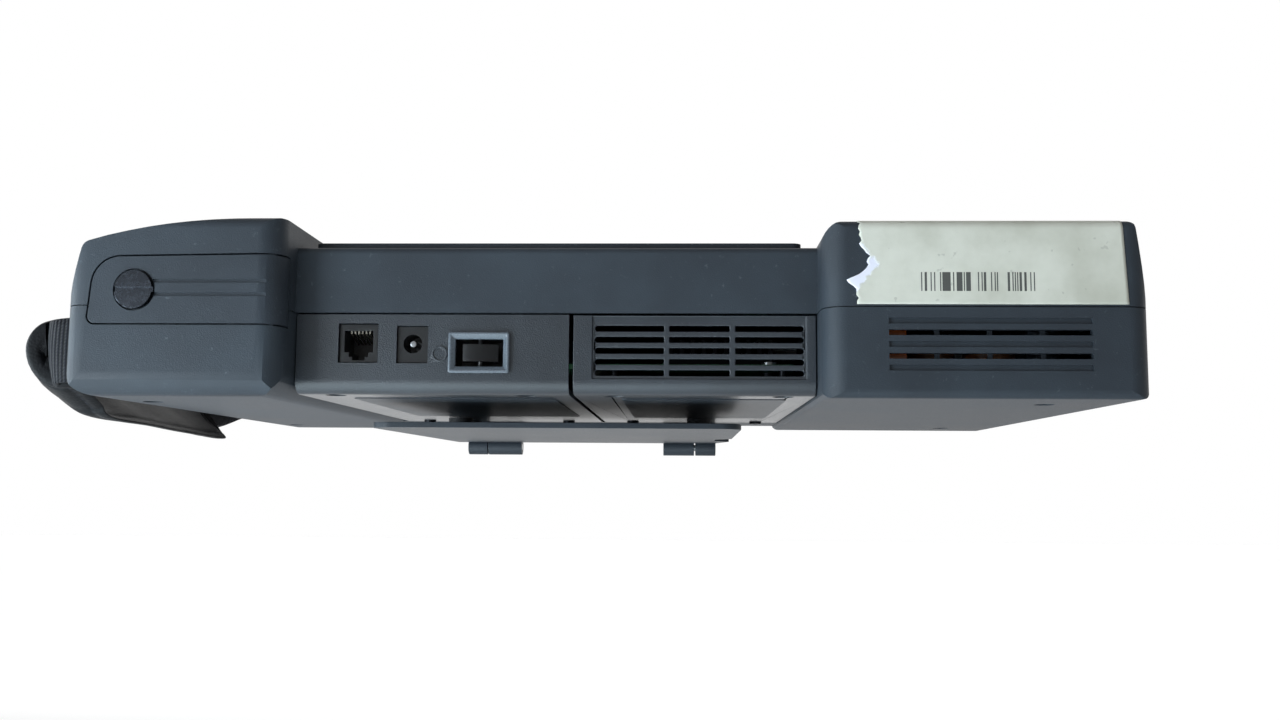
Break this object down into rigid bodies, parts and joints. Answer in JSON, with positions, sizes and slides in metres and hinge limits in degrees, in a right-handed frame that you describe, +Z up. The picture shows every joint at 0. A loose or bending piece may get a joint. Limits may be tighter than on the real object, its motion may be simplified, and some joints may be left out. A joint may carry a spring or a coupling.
{
  "type": "data collector",
  "caption": "Rugged tablet-style field data collector with battery grip, drive housing, rear sockets, hand strap and fold-out stand.",
  "frame": {"origin": "middle of the overall width and depth, on the plane under the stand's hinge knuckles", "axes": "+X towards the battery grip and its hand strap, +Y out of the rear face with the sockets, +Z up out of the display"},
  "size_m": [0.3986, 0.2309, 0.0735],
  "materials": {
    "case": "fine moulded grain",
    "cover": "moulded grain, slightly glossy",
    "bezel": "satin",
    "door": "fine moulded grain",
    "rubber": "matte",
    "black_plastic": "satin",
    "steel": "brushed",
    "dark_metal": "black plated",
    "aluminium": "satin",
    "brass": "satin",
    "gold_contact": "polished",
    "touch_glass": "polished",
    "lcd": "glossy",
    "board": "solder mask",
    "chip": "matte",
    "capacitor": "glossy film",
    "coil": "lacquered wire",
    "ribbon": "satin",
    "pack": "shrink sleeve",
    "webbing": "ribbed nylon",
    "pad": "smooth vinyl",
    "film_label": "glossy film",
    "paper_label": "worn paper",
    "stand": "powder coat"
  },
  "bodies": {
    "case": {"lower_shell": "case", "upper_shell": "case", "case_seal": "rubber", "io_cover": "cover", "vent_cover": "cover", "case_screws": "steel", "cover_screws": "steel", "display_bezel": "bezel", "touch_glass": "touch_glass", "display_gasket": "rubber", "lcd_panel": "lcd", "display_tray": "aluminium", "backlight_inverter": "board", "main_board": "board", "main_chips": "chip", "heat_sink": "aluminium", "backup_cell": "steel", "board_spacers": "brass", "board_screws": "steel", "power_board": "board", "filter_capacitors": "capacitor", "power_coils": "coil", "hard_drive": "aluminium", "drive_bracket": "steel", "ribbon_cable": "ribbon", "phone_jack": "black_plastic", "phone_contacts": "gold_contact", "dc_jack": "black_plastic", "dc_pin": "steel", "switch_frame": "black_plastic", "switch_terminals": "steel", "battery_bay": "case", "battery_contacts": "gold_contact", "door_gasket": "rubber", "screw_insert": "brass", "strap_bars": "steel", "strap_webbing": "webbing", "strap_pad": "pad", "stand_brackets": "stand", "stand_pins": "steel", "stand_bumpers": "rubber", "stand_screws": "steel", "rating_label_io": "film_label", "rating_label_vent": "film_label", "asset_label": "paper_label"},
    "stand": {"stand_plate": "stand"},
    "rocker": {"switch_rocker": "black_plastic"},
    "door": {"battery_door": "door"},
    "coin_screw": {"door_screw": "dark_metal", "screw_retainer": "steel"},
    "battery": {"battery_pack": "pack"}
  },
  "joints": [
    {"name": "stand_hinge", "type": "hinge", "parent": "case", "child": "stand", "pos_m": [0, -0.085, 0.0038], "axis": [-1, 0, 0], "range_deg": [0, 80]},
    {"name": "rocker_tilt", "type": "hinge", "parent": "case", "child": "rocker", "pos_m": [0.02103, 0.0934, 0.02995], "axis": [0, 0, -1], "range_deg": [0, 16]},
    {"name": "door_slide", "type": "slide", "parent": "case", "child": "door", "axis": [0, 1, 0], "range_m": [0, 0.06]},
    {"name": "battery_slide", "type": "slide", "parent": "case", "child": "battery", "axis": [0, 1, 0], "range_m": [0, 0.03]},
    {"name": "coin_screw_turn", "type": "hinge", "parent": "door", "child": "coin_screw", "pos_m": [0.13338, 0.115, 0.0487], "axis": [0, 1, 0], "continuous": true}
  ],
  "couplings": [
    {"joint": "battery_slide", "follows": "door_slide", "ratio": 0.5}
  ]
}
